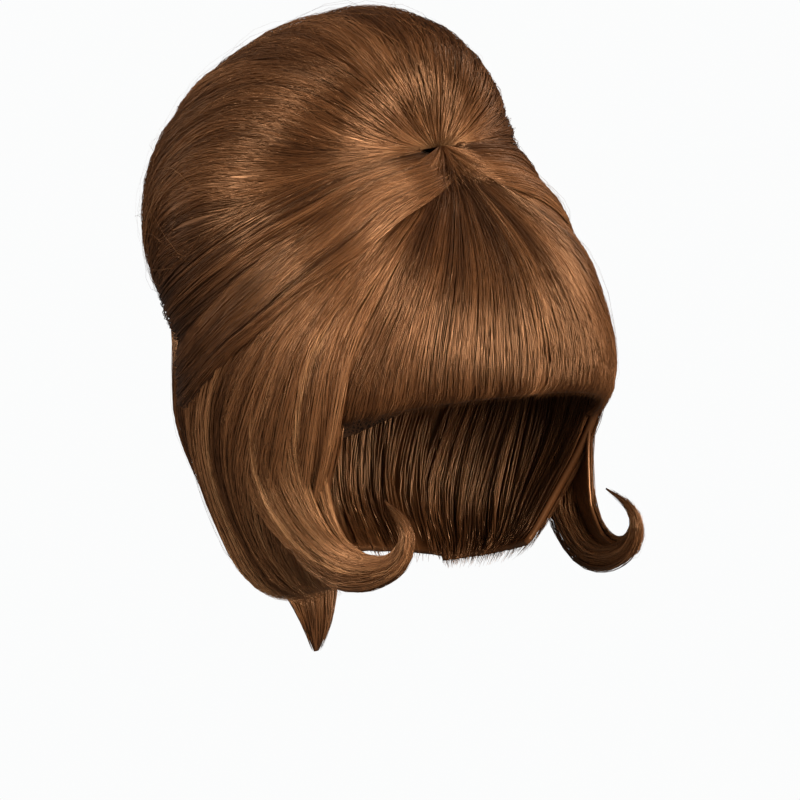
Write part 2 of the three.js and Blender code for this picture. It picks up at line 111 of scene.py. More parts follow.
def hair_normal(angle, drop):
    """The direction straight out of the hair at that point."""
    across = hair_point(angle + 1, drop) - hair_point(angle - 1, drop)
    down = hair_point(angle, drop + 0.01) - hair_point(angle, drop - 0.01)
    return unit(np.cross(down, across))


# The hair's material
# Smooth synthetic hair fibre, light chestnut brown, in strands that differ a little in shade and have a soft
# shine. The Shade map holds how light a strand is, and how far along it a place is. The Fibre map holds
# millimetres across the strands and along them.
def linear(code):
    """An sRGB colour code as linear RGBA."""
    parts = [int(code[i : i + 2], 16) / 255 for i in (1, 3, 5)]
    return [c / 12.92 if c <= 0.04045 else ((c + 0.055) / 1.055) ** 2.4 for c in parts] + [1.0]


def add_node(tree, kind, links=(), **settings):
    """Adds a node. Settings name its properties, or its inputs where it has no such property."""
    node = tree.nodes.new(kind)
    for name, value in settings.items():
        if hasattr(node, name):
            setattr(node, name, value)
        else:
            node.inputs[name.replace("_", " ")].default_value = value
    for socket, source in links:
        tree.links.new(source, node.inputs[socket])
    return node


# shade, colour
HAIR_COLOURS = (
    (0.0, "#170c05"),
    (0.25, "#341e10"),
    (0.5, "#57371f"),
    (0.75, "#7d5637"),
    (1.0, "#a87f58"),
)
# Real fibres are under 0.1 mm thick. They are drawn as streaks 0.3 mm wide and 40 mm long, so that they show.
FIBRE_WIDTH = 0.3
FIBRE_RUN = 40
FIBRE_DEPTH = 0.12 * MM
# How far the streaks lighten or darken a strand
FIBRE_CONTRAST = 0.36

hair_fibre = bpy.data.materials.new("hair_fibre")
hair_fibre.use_nodes = True
tree = hair_fibre.node_tree
shader = tree.nodes["Principled BSDF"]
shade_map = add_node(tree, "ShaderNodeUVMap", uv_map="Shade")
shade = add_node(tree, "ShaderNodeSeparateXYZ", [("Vector", shade_map.outputs["UV"])])
fibre_map = add_node(tree, "ShaderNodeUVMap", uv_map="Fibre")
stretched = add_node(
    tree, "ShaderNodeMapping", [("Vector", fibre_map.outputs["UV"])],
    Scale=(1 / FIBRE_WIDTH, 1 / FIBRE_RUN, 1),
)
fibres = add_node(
    tree, "ShaderNodeTexNoise", [("Vector", stretched.outputs["Vector"])], Scale=1.0, Detail=4.0,
)
uneven = add_node(
    tree, "ShaderNodeMath", [(0, fibres.outputs["Fac"]), (2, shade.outputs["X"])], operation="MULTIPLY_ADD",
)
uneven.inputs[1].default_value = FIBRE_CONTRAST
centred = add_node(tree, "ShaderNodeMath", [(0, uneven.outputs[0])], operation="SUBTRACT")
centred.inputs[1].default_value = FIBRE_CONTRAST / 2
ramp = add_node(tree, "ShaderNodeValToRGB", [("Fac", centred.outputs[0])])
while len(ramp.color_ramp.elements) < len(HAIR_COLOURS):
    ramp.color_ramp.elements.new(0.5)
for element, (position, code) in zip(ramp.color_ramp.elements, HAIR_COLOURS):
    element.position = position
    element.color = linear(code)
relief = add_node(
    tree, "ShaderNodeBump", [("Height", fibres.outputs["Fac"])], Strength=1.0, Distance=FIBRE_DEPTH,
)
tree.links.new(ramp.outputs["Color"], shader.inputs["Base Color"])
tree.links.new(relief.outputs["Normal"], shader.inputs["Normal"])
# The fibre's own IOR is about 1.5. It is set higher, so that coarse strands shine as many fine ones do.
shader.inputs["Roughness"].default_value = 0.32
shader.inputs["IOR"].default_value = 1.8
shader.inputs["Specular IOR Level"].default_value = 1.0
shader.inputs["Specular Tint"].default_value = linear("#e8b58a")

# The crown
# Backcombed hair swept over from the knot at the front of the crown to the tuck at the back of the head. The
# strands leave a short parting line at the knot, and gather again at the tuck.
KNOT = np.array([0, -32, 13]) * MM
TUCK = np.array([0, 104, -74]) * MM
PUFF_RISE = 90 * MM
PUFF_WIDTH = 182 * MM
PUFF_BELLY = 45 * MM
PUFF_TURN = 112
KNOT_TO_TUCK = TUCK - KNOT
PUFF_UP = unit(np.cross([1, 0, 0], KNOT_TO_TUCK))

# strand, top along, rise, side along, spread
PUFF_STATIONS = (
    (0, 0, 0.004, 0, 0.12),
    (0.06, -0.03, 0.1, 0.02, 0.34),
    (0.14, -0.09, 0.29, 0.09, 0.61),
    (0.24, -0.09, 0.54, 0.21, 0.82),
    (0.36, 0.06, 0.82, 0.36, 0.95),
    (0.48, 0.29, 0.97, 0.5, 1),
    (0.6, 0.54, 1, 0.63, 0.985),
    (0.72, 0.77, 0.87, 0.76, 0.89),
    (0.84, 0.92, 0.61, 0.88, 0.69),
    (0.94, 0.98, 0.28, 0.96, 0.36),
    (1, 1, 0.004, 1, 0.03),
)


def puff_place(across, strand):
    """A point on the outside of the crown, which is round above and flatter below."""
    top_along, rise, side_along, spread = smooth(PUFF_STATIONS, strand)
    turn = np.radians((2 * across - 1) * PUFF_TURN)
    up, side = np.cos(turn), np.sin(turn)
    along = np.where(up > 0, top_along + (side_along - top_along) * side**2, side_along)
    height = np.where(up > 0, rise * PUFF_RISE, np.minimum(rise, spread) * PUFF_BELLY)
    return (
        KNOT
        + along[..., None] * KNOT_TO_TUCK
        + (up * height)[..., None] * PUFF_UP
        + (side * spread * PUFF_WIDTH / 2)[..., None] * np.array([1.0, 0, 0])
    )


def ripple(seed, across_cycles, way_cycles, terms=7):
    """A smooth random field over a sheet, from about -1 to 1."""
    rng = np.random.default_rng(seed)
    over = rng.uniform(-1, 1, terms) * across_cycles * 2 * np.pi
    along = rng.uniform(-1, 1, terms) * way_cycles * 2 * np.pi
    phase = rng.uniform(0, 2 * np.pi, terms)

    def field(across, way):
        return sum(np.sin(a * across + b * way + c) for a, b, c in zip(over, along, phase)) / terms**0.5

    return field


class Sheet:
    """A sheet of hair in locks. Its place is a function of the shares across it and along its strands, and
    its width and length are its real size. The sway is how far its locks wander, and the relief is how far
    they stand up. Flip turns the outer side round where the place runs the other way."""

    def __init__(self, place, width, length, locks, sway, relief, seed, flip=False):
        self.place, self.width, self.length, self.locks = place, width, length, locks
        self.sway, self.relief, self.flip = sway, relief, flip
        rng = np.random.default_rng(seed)
        self.drift = ripple(seed + 1, locks / 5, 1.4)
        self.bend = ripple(seed + 2, locks / 3, 1.1)
        self.patch = ripple(seed + 3, locks / 2, 1.6)
        self.heights = rng.uniform(0.35, 1, locks + 6)
        self.tones = rng.normal(0, 0.045, locks + 6)

    def at(self, across, way):
        """Points, outward directions, and how high in its lock and how light each point is."""
        fade = np.clip(np.sin(np.pi * np.clip(way, 0, 1)) * 1.6, 0, 1)
        inner = 4 * np.clip(across, 0, 1) * (1 - np.clip(across, 0, 1))
        moved = across + self.drift(across, way) * self.sway / self.width * fade * np.minimum(1, inner * 2)
        step = 0.004
        points = self.place(moved, way)
        over = self.place(moved + step, way) - self.place(moved - step, way)
        on = self.place(moved, np.clip(way + step, 0, 1)) - self.place(moved, np.clip(way - step, 0, 1))
        normals = unit(np.cross(over, on))
        if self.flip:
            normals = -normals
        lock = across * self.locks + 0.5 * self.bend(across, way) * fade + 2
        number = np.clip(np.floor(lock).astype(int), 0, self.locks + 5)
        crest = (1 - np.abs(2 * (lock - np.floor(lock)) - 1) ** 2.2) * self.heights[number]
        tone = self.tones[number] + 0.06 * self.patch(across, way)
        return points + normals * (crest * self.relief * fade)[..., None], normals, crest, tone


def dress(name, mesh, node):
    """Makes a mesh a piece of hair in place of the node's solid."""
    mesh.materials.append(hair_fibre)
    piece = bpy.data.objects.new(name, mesh)
    bpy.context.scene.collection.objects.link(piece)
    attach(piece, "root")
    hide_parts(node)
    return piece


# How light the hair under the strands is
UNDER_TONE = 0.42


def under_layer(name, node, sheet, columns, rows, thickness, depth=1.2 * MM, since=0.0, until=1.0):
    """The closed sheet of hair that the modelled strands lie on, between two shares of the way along it."""
    bm = bmesh.new()
    bmesh.ops.create_grid(bm, x_segments=columns, y_segments=rows, size=0.5)
    shares = (np.array([vert.co[:2] for vert in bm.verts]) + 0.5) * [1, until - since] + [0, since]
    points, normals, crest, shade = sheet.at(shares[:, 0], shares[:, 1])
    for vert, point in zip(bm.verts, points - normals * depth):
        vert.co = point
    shade_map = bm.loops.layers.uv.new("Shade")
    fibre_map = bm.loops.layers.uv.new("Fibre")
    for face in bm.faces:
        for loop in face.loops:
            across, way = shares[loop.vert.index]
            # Painted shade: the under layer is lighter on the crests of the locks than in the furrows between
            # them.
            light = UNDER_TONE + shade[loop.vert.index] + 0.1 * crest[loop.vert.index]
            loop[shade_map].uv = (light, way)
            loop[fibre_map].uv = (across * sheet.width / MM, way * sheet.length / MM)
    bm.normal_update()
    facing = sum(np.dot(face.normal, normals[face.verts[0].index]) for face in bm.faces)
    if facing < 0:
        bmesh.ops.reverse_faces(bm, faces=bm.faces)
    mesh = bpy.data.meshes.new(name)
    bm.to_mesh(mesh)
    bm.free()
    mesh.shade_smooth()
    piece = dress(name, mesh, node)
    wall = piece.modifiers.new("Thickness", "SOLIDIFY")
    wall.thickness = thickness
    wall.offset = -1
    return piece


# A strand is this much as thick as it is wide.
FLATNESS = 0.45


def strand_mesh(name, node, centres, ups, radii, tones, fibre, run):
    """One mesh of closed, flat, three-sided strands. Each has a row of centres and of outward directions."""
    count, rings = centres.shape[:2]
    tangents = unit(np.gradient(centres, axis=1))
    sides = unit(np.cross(ups, tangents))
    backs = np.cross(tangents, sides)
    angles = np.radians([90, 210, 330])
    spokes = (
        np.cos(angles)[:, None] * sides[:, :, None, :]
        + FLATNESS * np.sin(angles)[:, None] * backs[:, :, None, :]
    )
    vertices = (centres[:, :, None, :] + radii[:, :, None, None] * spokes).reshape(-1, 3)
    first = (np.arange(count)[:, None] * rings + np.arange(rings - 1)[None, :])[:, :, None] * 3
    here = np.arange(3)
    after = (here + 1) % 3
    quads = np.stack([first + here, first + after, first + 3 + after, first + 3 + here], axis=-1)
    quads = quads.reshape(-1, 4)
    start = np.arange(count)[:, None] * rings * 3
    caps = np.concatenate([start + [0, 2, 1], start + (rings - 1) * 3 + [0, 1, 2]])
    corners = np.concatenate([quads.ravel(), caps.ravel()]).astype(np.int32)
    sizes = np.concatenate([np.full(len(quads), 4), np.full(len(caps), 3)])
    mesh = bpy.data.meshes.new(name)
    mesh.vertices.add(len(vertices))
    mesh.vertices.foreach_set("co", vertices.ravel().astype(np.float32))
    mesh.loops.add(len(corners))
    mesh.loops.foreach_set("vertex_index", corners)
    mesh.polygons.add(len(sizes))
    mesh.polygons.foreach_set("loop_start", np.concatenate([[0], np.cumsum(sizes)[:-1]]).astype(np.int32))
    mesh.update(calc_edges=True)
    mesh.shade_smooth()
    ring_of = corners // 3 % rings
    strand_of = corners // (3 * rings)
    shade = np.stack([tones[strand_of, ring_of], ring_of / (rings - 1)], axis=-1)
    mesh.uv_layers.new(name="Shade").data.foreach_set("uv", shade.ravel().astype(np.float32))
    over = np.cos(angles)[corners % 3] * radii[strand_of, ring_of] / MM
    along = np.stack([fibre[strand_of] + over, run * ring_of / (rings - 1)], axis=-1)
    mesh.uv_layers.new(name="Fibre").data.foreach_set("uv", along.ravel().astype(np.float32))
    return dress(name, mesh, node)


def comb(
    name, node, sheet, count, rings=10, wisps=60, begin=(0, 0.6), length=(0.3, 0.6), pull=0.4, wander=0.8,
    slant=0.01, height=(-1.1, 0.3), radius=0.3, loose=0.012, tone=0.5, root_shading=0.0, fade=0.12,
    tip_shading=0.0, edges=0.0, lock_shading=0.2, ragged=0.04, seed=1,
):
    """Strands laid on a sheet in wisps. Begin and length are shares of the way along it, each chosen between
    two. Wander, height and radius are in millimetres. Pull gathers a wisp's tips, slant lets strands cross,
    and loose is the share that stand off. The root, tip and edge shading lighten or darken the way up to the
    fade, the last seven tenths of the way, and the two sides of the sheet: painted light and shade. The lock
    shading lightens the crests of the locks and darkens the furrows between them, a painted shade, and ragged
    is the share of the way within which the tips end."""
    rng = np.random.default_rng(seed)
    centres = np.sort((np.arange(wisps) + rng.uniform(0.0, 1.0, wisps)) / wisps)
    across = (np.arange(count) + rng.uniform(0, 1, count)) / count
    wisp = np.clip(np.searchsorted((centres[1:] + centres[:-1]) / 2, across), 0, wisps - 1)
    offset = across - centres[wisp]
    starts = rng.uniform(*begin, count)
    ends = np.minimum(starts + rng.uniform(*length, count), 1 - ragged * rng.uniform(0, 1, count) ** 0.7)
    starts = np.clip(np.minimum(starts, ends - 0.15), 0, 1)
    share = np.linspace(0, 1, rings)
    way = starts[:, None] + (ends - starts)[:, None] * share[None, :]
    waves = np.zeros_like(way)
    for cycles, size in ((0.7, 1.0), (1.6, 0.5), (3.1, 0.2)):
        together = rng.uniform(0, 2 * np.pi, wisps)[wisp][:, None]
        alone = rng.uniform(0, 2 * np.pi, count)[:, None]
        turn = 2 * np.pi * cycles * way
        waves += size * (np.sin(turn + together) + 0.4 * np.sin(turn + alone))
    gathered = centres[wisp][:, None] + offset[:, None] * (1 - pull * way**2)
    crossing = rng.normal(0, slant, count)[:, None] * (share[None, :] - 0.5)
    place = gathered + waves * wander * MM / sheet.width + crossing
    place = np.clip(place, 0, 1)
    points, normals, crest, shade = sheet.at(place, way)
    middle = 1 - np.clip(np.abs(offset) * wisps * 1.2, 0, 1) ** 2
    layer = (rng.uniform(*height, count) + 0.5 * middle + rng.uniform(-0.4, 0.4, wisps)[wisp]) * MM
    stands_off = rng.uniform(0, 1, count) < loose
    off = np.where(stands_off, rng.uniform(1, 4, count), 0) * MM
    lift = layer[:, None] + off[:, None] * np.sin(np.pi * share)[None, :]
    taper = np.clip(np.minimum(share * 8, (1 - share) * 4.5) + 0.2, 0, 1)
    thickness = np.where(stands_off, 0.3, rng.uniform(0.6, 1.15, count)) * radius * MM
    tones = tone + (rng.normal(0, 0.04, count) + rng.normal(0, 0.05, wisps)[wisp])[:, None]
    apart = np.clip(way * 3, 0, 1)
    # Painted light and shade: strands are lighter on the crests of the locks, and darker in the furrows
    # between them and at the edges of each wisp. The next two lines paint light and shade at the roots, the
    # tips and the two sides of the sheet.
    tones = tones + (shade + lock_shading * (crest - 0.5)) * apart + 0.05 * (middle[:, None] - 0.5)
    tones = tones + root_shading * np.clip(1 - way / fade, 0, 1) + tip_shading * np.clip((way - 0.3) / 0.7, 0, 1)
    tones = tones + edges * np.abs(2 * place - 1) ** 3
    return strand_mesh(
        name, node, points + normals * lift[..., None], normals, thickness[:, None] * taper[None, :],
        np.clip(tones, 0, 1), rng.uniform(0, 90, count), sheet.length / MM,
    )


crown = Sheet(puff_place, width=0.28, length=0.26, locks=17, sway=9 * MM, relief=1.5 * MM, seed=10)
under_layer("crown_under", "crown_puff", crown, 100, 50, 2.5 * MM)
# The crown's strands are painted much lighter at their roots above the knot, a painted highlight, and a
# little darker on the two lower sides of the crown, a painted shade.
comb(
    "crown_strands", "crown_puff", crown, 2600, rings=10, wisps=90, begin=(-0.3, 0.5), length=(0.45, 0.8),
    slant=0.015, radius=0.27, tone=0.45, root_shading=0.5, fade=0.1, edges=-0.06, lock_shading=0.24, seed=12,
)
comb(
    "crown_strays", "crown_puff", crown, 200, rings=9, begin=(-0.1, 0.6), length=(0.25, 0.5), slant=0.12,
    height=(0.2, 0.9), radius=0.14, loose=0.25, tone=0.6, seed=14,
)

KNOT_BED_SIZE = Vector((0.017, 0.008, 0.006))
KNOT_BED_PLACE = Vector((0, -0.0015, -0.0075))
# The bed's dark shade is painted shade in the crevice at the knot.
KNOT_BED_SHADE = 0.35


def knot_bed():
    """The bed of hair that shows between the strands where they leave the knot. Its dark colour is painted
    shade for the crevice there.
    """
    bm = bmesh.new()
    bmesh.ops.create_uvsphere(bm, u_segments=32, v_segments=16, radius=1)
    shade_map = bm.loops.layers.uv.new("Shade")
    fibre_map = bm.loops.layers.uv.new("Fibre")
    for face in bm.faces:
        for loop in face.loops:
            round_it = math.atan2(loop.vert.co.x, -loop.vert.co.y)
            loop[shade_map].uv = (KNOT_BED_SHADE, 0)
            loop[fibre_map].uv = (round_it * 14, loop.vert.co.z * 10)
    for vert in bm.verts:
        vert.co = Vector(KNOT) + KNOT_BED_PLACE + vert.co * KNOT_BED_SIZE
    mesh = bpy.data.meshes.new("knot_bed")
    bm.to_mesh(mesh)
    bm.free()
    mesh.shade_smooth()
    dress("knot_bed", mesh, "crown_puff")


knot_bed()

# The fringe
# Bangs in a fan from under the knot to the brow line, rounded over the forehead. Their tips turn in, and
# sweep a little to the wearer's right.
HEAD_WIDTH = 150 * MM
CAP_WALL = 2 * MM
FULL_DEPTH = HAIR_WIDTH / 2 - HEAD_WIDTH / 2 - CAP_WALL
# The wig hangs this much lower on the wearer's left, at the fringe's corner and the curl.
LEFT_DROP = 16 * MM
# Cut ends turn under by at most this share of the hair's depth.
TURN_SHARE = 0.6
FRINGE_LINING_DEPTH = 4 * MM


def with_strand(rows):
    """The table with a first column that runs evenly from 0 at its first row to 1 at its last."""
    return [(i / (len(rows) - 1), *row) for i, row in enumerate(rows)]


# drop, edge, corner, turn
FRINGE_STATIONS = with_strand((
    (-0.056, 7, 0.005, 0),
    (-0.03, 12, 0.01, 0),
    (0.02, 19, 0.01, 0),
    (0.07, 33, 0.02, 0),
    (0.13, 42, 0.025, 0),
    (0.2, 49, 0.035, 0),
    (0.28, 54, 0.05, 0),
    (0.35, 57, 0.07, 0.05),
    (0.405, 58, 0.105, 0.25),
    (0.43, 58.5, 0.125, 0.6),
))
# Degrees that the tips sweep aside, and that the sheet reaches under the side hair
FRINGE_SWEEP = 8
FRINGE_UNDERLAP = 1.8


def fringe_place(inner=0.0):
    def place(across, strand):
        drop, edge, corner, turn = smooth(FRINGE_STATIONS, strand)
        aside = 2 * across - 1
        drop = drop + corner * aside**2 + strand * aside * LEFT_DROP / 2 / HAIR_DROP
        swept = np.clip((strand - 0.4) / 0.6, 0, 1) ** 2 * (1 - (0.5 + aside / 2) ** 2)
        angle = aside * (edge + FRINGE_UNDERLAP) - FRINGE_SWEEP * swept
        depth = turn * FULL_DEPTH * TURN_SHARE + inner
        return hair_point(angle, drop) - hair_normal(angle, drop) * depth[..., None]

    return place


fringe = Sheet(
    fringe_place(), width=0.17, length=0.12, locks=16, sway=2.5 * MM, relief=0.9 * MM, seed=20, flip=True,
)
under_layer("fringe_under", "fringe", fringe, 90, 34, 2.5 * MM, until=0.96)
# The fringe's strands are painted darker over the upper part of their way, a painted shade under the fan and
# the wings.
comb(
    "fringe_strands", "fringe", fringe, 2350, rings=8, wisps=90, begin=(-0.2, 0.35), length=(0.6, 1.2),
    pull=0.35, wander=0.3, slant=0.015, radius=0.25, ragged=0.05, tone=0.52, root_shading=-0.35, fade=0.6,
    lock_shading=0.1, seed=22,
)
fringe_inside = Sheet(
    fringe_place(FRINGE_LINING_DEPTH), width=0.17, length=0.12, locks=16, sway=2 * MM, relief=0.5 * MM,
    seed=24,
)
comb(
    "fringe_lining", "fringe", fringe_inside, 220, rings=7, begin=(0.3, 0.6), length=(0.4, 0.7), pull=0.1,
    radius=0.4, tone=0.4, seed=25,
)

# The side hair
# The hair from under each wing down over the ear to the jaw, where it turns under. Its front edge draws back
# at the cheek.
# front angle, front drop, back angle, back drop, bow, turn
SIDE_STATIONS = with_strand((
    (14, 0, 100, 0.3, -0.04, 0),
    (34, 0.09, 107, 0.42, -0.06, 0),
    (47, 0.19, 112, 0.52, -0.06, 0),
    (54, 0.3, 116, 0.61, -0.05, 0),
    (57.5, 0.42, 118, 0.7, -0.035, 0),
    (59.5, 0.53, 120, 0.78, -0.02, 0),
    (64, 0.64, 119, 0.85, -0.01, 0),
    (68.5, 0.75, 116, 0.91, 0, 0.05),
    (68, 0.85, 110, 0.955, 0.005, 0.25),
    (65, 0.92, 103, 0.985, 0.01, 0.8),
))
# The locks bow back over the ear by this share of the sheet's width, and come forward again to their tips.
SIDE_BOW = 0.22
LINING_DEPTH = 5.5 * MM


def side_place(side, inner=0.0):
    def place(across, strand):
        swing = np.sin(np.pi * np.clip(strand, 0, 1))
        across = across + SIDE_BOW * 4 * across * (1 - across) * swing * (1 - across)
        front_angle, front_drop, back_angle, back_drop, bow, turn = smooth(SIDE_STATIONS, strand)
        angle = side * (front_angle + (back_angle - front_angle) * across)
        drop = front_drop + (back_drop - front_drop) * across + 4 * bow * across * (1 - across)
        depth = turn * FULL_DEPTH * TURN_SHARE + inner
        return hair_point(angle, drop) - hair_normal(angle, drop) * depth[..., None]

    return place


for side, hand in ((-1, "right"), (1, "left")):
    node = f"side_hair_{hand}"
    locks = Sheet(
        side_place(side), width=0.095, length=0.19, locks=11, sway=4 * MM, relief=1.6 * MM, seed=30 + side,
        flip=side > 0,
    )
    under_layer(f"side_under_{hand}", node, locks, 70, 44, 3 * MM, until=0.94)
    # The side strands are painted a little darker at their roots, a painted shade under the wing, and lighter
    # towards their tips, a painted light.
    comb(
        f"side_strands_{hand}", node, locks, 1400, rings=9, wisps=34, begin=(-0.1, 0.4), length=(0.5, 0.95),
        pull=0.45, wander=1.0, slant=0.03, radius=0.27, ragged=0.1, tone=0.55, root_shading=-0.04, fade=0.2,
        tip_shading=0.16, lock_shading=0.36, seed=33 + side,
    )
    inside = Sheet(
        side_place(side, LINING_DEPTH), width=0.095, length=0.19, locks=11, sway=3 * MM, relief=0.8 * MM,
        seed=36 + side, flip=side < 0,
    )
    comb(
        f"side_lining_{hand}", node, inside, 300, rings=7, begin=(0.1, 0.5), length=(0.4, 0.8), pull=0.1,
        radius=0.5, tone=0.36, seed=38 + side,
    )

# The back hair
# The hair under the wings at the back of the head, down to the nape, where it turns in. It is sewn to the cap
# in rows, as the side hair is.
# edge, drop, bow, turn
BACK_STATIONS = with_strand((
    (98, 0.31, 0.04, 0),
    (105, 0.43, 0.04, 0),
    (110, 0.53, 0.04, 0),
    (114, 0.62, 0.04, 0),
    (116, 0.71, 0.03, 0),
    (116, 0.79, 0.025, 0),
    (114, 0.86, 0.02, 0),
    (108, 0.93, 0.01, 0.15),
    (100, 0.985, 0.01, 0.8),
))


def back_place(inner=0.0):
    def place(across, strand):
        edge, drop, bow, turn = smooth(BACK_STATIONS, strand)
        angle = edge + (360 - 2 * edge) * across
        drop = drop + 4 * bow * across * (1 - across)
        depth = turn * FULL_DEPTH * TURN_SHARE + inner
        return hair_point(angle, drop) - hair_normal(angle, drop) * depth[..., None]

    return place


back_locks = Sheet(
    back_place(), width=0.16, length=0.14, locks=16, sway=4 * MM, relief=1.6 * MM, seed=40, flip=True,
)
under_layer("back_under", "back_hair", back_locks, 90, 36, 3 * MM, until=0.94)
comb(
    "back_strands", "back_hair", back_locks, 1000, rings=8, wisps=60, begin=(-0.1, 0.4), length=(0.45, 0.9),
    slant=0.03, tip_shading=0.1, ragged=0.1, seed=42,
)
back_inside = Sheet(
    back_place(LINING_DEPTH), width=0.16, length=0.14, locks=16, sway=3 * MM, relief=0.8 * MM, seed=44,
)
comb(
    "back_lining", "back_hair", back_inside, 360, rings=7, begin=(0, 0.5), length=(0.4, 0.8), pull=0.1,
    radius=0.5, tone=0.36, seed=45,
)

# The swept wings
# Two smooth bands of hair that leave the knot, cover the roots of the side hair, and wrap round to the back,
# where their ends meet under the fall.
WING_LIFT = 4.5 * MM
# top angle, top drop, low angle, low drop, lift
WING_STATIONS = with_strand((
    (1, -0.06, 2, -0.012, -0.1),
    (32, -0.035, 20, 0.022, 0.85),
    (58, -0.01, 38, 0.062, 1),
    (75, 0.045, 55, 0.13, 1),
    (88, 0.11, 72, 0.21, 1),
    (99, 0.195, 86, 0.315, 1),
    (112, 0.27, 101, 0.43, 1),
    (127, 0.315, 117, 0.525, 0.8),
    (144, 0.335, 136, 0.57, 0.7),
    (161, 0.34, 157, 0.58, 0.65),
    (179, 0.34, 179, 0.58, 0.65),
))
# The strands in the hollow between crown and wing go from a turn of the crown to a share of the wing.
HOLLOW_TURN = 0.83
HOLLOW_SHARE = 0.3
HOLLOW_BULGE = 2.5 * MM
# wing strand, crown strand
HOLLOW_PAIRS = (
    (0, 0),
    (0.1, 0.07),
    (0.2, 0.14),
    (0.3, 0.2),
    (0.4, 0.27),
    (0.5, 0.38),
    (0.6, 0.5),
    (0.7, 0.62),
    (0.8, 0.72),
    (0.9, 0.81),
    (1, 0.9),
)
# What the hollow bulges away from
HEAD_MIDDLE = np.array([0, 20, -50]) * MM


def wing_place(side):
    def place(across, strand):
        top_angle, top_drop, low_angle, low_drop, lift = smooth(WING_STATIONS, strand)
        angle = side * (top_angle + (low_angle - top_angle) * across)
        drop = top_drop + (low_drop - top_drop) * across
        rounded = lift * WING_LIFT * (1 - np.abs(2 * np.clip(across, 0, 1) - 1) ** 4 * 0.8)
        return hair_point(angle, drop) + hair_normal(angle, drop) * rounded[..., None]

    return place


def hollow_place(side):
    wing = wing_place(side)

    def place(across, strand):
        (on_crown,) = smooth(HOLLOW_PAIRS, strand)
        turn = 0.5 + side * HOLLOW_TURN / 2
        above = puff_place(np.full_like(strand, turn), on_crown)
        below = wing(np.full_like(strand, HOLLOW_SHARE), strand)
        away = unit((above + below) / 2 - HEAD_MIDDLE)
        bulge = HOLLOW_BULGE * 4 * across * (1 - across) * np.sin(np.pi * strand)
        return above + (below - above) * across[..., None] + away * bulge[..., None]

    return place


for side, hand in ((-1, "right"), (1, "left")):
    node = f"swept_wing_{hand}"
    band = Sheet(
        wing_place(side), width=0.042, length=0.25, locks=5, sway=2.5 * MM, relief=1 * MM, seed=50 + side,
        flip=side < 0,
    )
    under_layer(f"wing_under_{hand}", node, band, 40, 60, 2.5 * MM, since=0.02)
    # The wing's strands are painted darker at their roots by the knot, and much darker at their tips, which
    # lie under the fall: painted shade.
    comb(
        f"wing_strands_{hand}", node, band, 1000, rings=11, wisps=22, begin=(-0.3, 0.45), length=(0.4, 0.75),
        pull=0.15, wander=0.6, slant=0.05, radius=0.27, height=(-0.9, 0.2), tone=0.54, root_shading=-0.1, tip_shading=-0.32,
        ragged=0.3, seed=53 + side,
    )
    hollow = Sheet(
        hollow_place(side), width=0.04, length=0.24, locks=5, sway=2 * MM, relief=1.2 * MM, seed=56 + side,
        flip=side < 0,
    )
    under_layer(f"hollow_under_{hand}", node, hollow, 20, 50, 2 * MM)
    # The hollow's strands are painted darker than the hair round them, and darker still at their roots by the
    # knot and a little at their tips: painted shade in the hollow.
    comb(
        f"hollow_strands_{hand}", node, hollow, 350, rings=10, wisps=14, begin=(-0.2, 0.5), length=(0.4, 0.6),
        pull=0.1, wander=0.8, slant=0.06, tone=0.36, root_shading=-0.25, tip_shading=-0.1, ragged=0.2, seed=58 + side,
    )

# The fan at the knot
# Short strands that leave the knot forward and sideways, over the roots of the fringe and of the wings. They
# start in the knot with the rest, and end among the strands below.
FAN_SPREAD = 80
KNOT_DROP = -0.062
FAN_DROP = 0.11


def fan_place(across, strand):
    aside = 2 * across - 1
    angle = aside * FAN_SPREAD * strand**0.8
    drop = KNOT_DROP + FAN_DROP * strand
    over = (1.8 + 0.4 * strand + 2.2 * strand * aside**2) * MM
    return hair_point(angle, drop) + hair_normal(angle, drop) * over[..., None]


fan = Sheet(
    fan_place, width=0.05, length=0.04, locks=5, sway=1 * MM, relief=0.4 * MM, seed=76, flip=True,
)
# The fan's strands are painted darker at their roots in the knot and at their tips among the strands below:
# painted shade.
comb(
    "fan_strands", "fringe", fan, 520, rings=7, wisps=24, begin=(-0.3, 0.2), length=(0.4, 0.9), pull=0.2,
    wander=0.4, slant=0.04, height=(-0.8, 0.3), radius=0.22, tone=0.48, root_shading=-0.2, tip_shading=-0.3, ragged=0.5,
    seed=78,
)

# The fall at the back
# The crown's smooth top layer, which comes down the back of the head over the ends of the wings. It follows
# the crown's strands from half way, then passes over the wings, and its tips lie on the back hair.
FALL_TURN = 104
FALL_LIFT = 6 * MM
# The fall is this much as wide on the head as on the crown, in degrees of turn.
FALL_NARROWING = 0.62
# Where it starts along the crown's strands, and how far along them it runs
FALL_START = 0.5
FALL_ON_CROWN = 0.34
# Where it comes down on the head, and how much further down it reaches
FALL_TOP_DROP = 0.3
FALL_REACH = 0.5


def fall_place(across, strand):
    turn = (2 * across - 1) * FALL_TURN
    crown_strand = FALL_START + FALL_ON_CROWN * np.clip(strand / 0.42, 0, 1)
    on_crown = puff_place(0.5 + turn / PUFF_TURN / 2, crown_strand)
    angle = 180 - FALL_NARROWING * turn
    drop = FALL_TOP_DROP + FALL_REACH * np.clip((strand - 0.36) / 0.64, 0, 1)
    over = FALL_LIFT * np.clip((0.97 - strand) / 0.25, 0, 1) * (1 - (2 * across - 1) ** 4)
    on_head = hair_point(angle, drop) + hair_normal(angle, drop) * over[..., None]
    gone = np.clip((strand - 0.25) / 0.3, 0, 1)
    gone = gone**2 * (3 - 2 * gone)
    return on_crown + (on_head - on_crown) * gone[..., None]


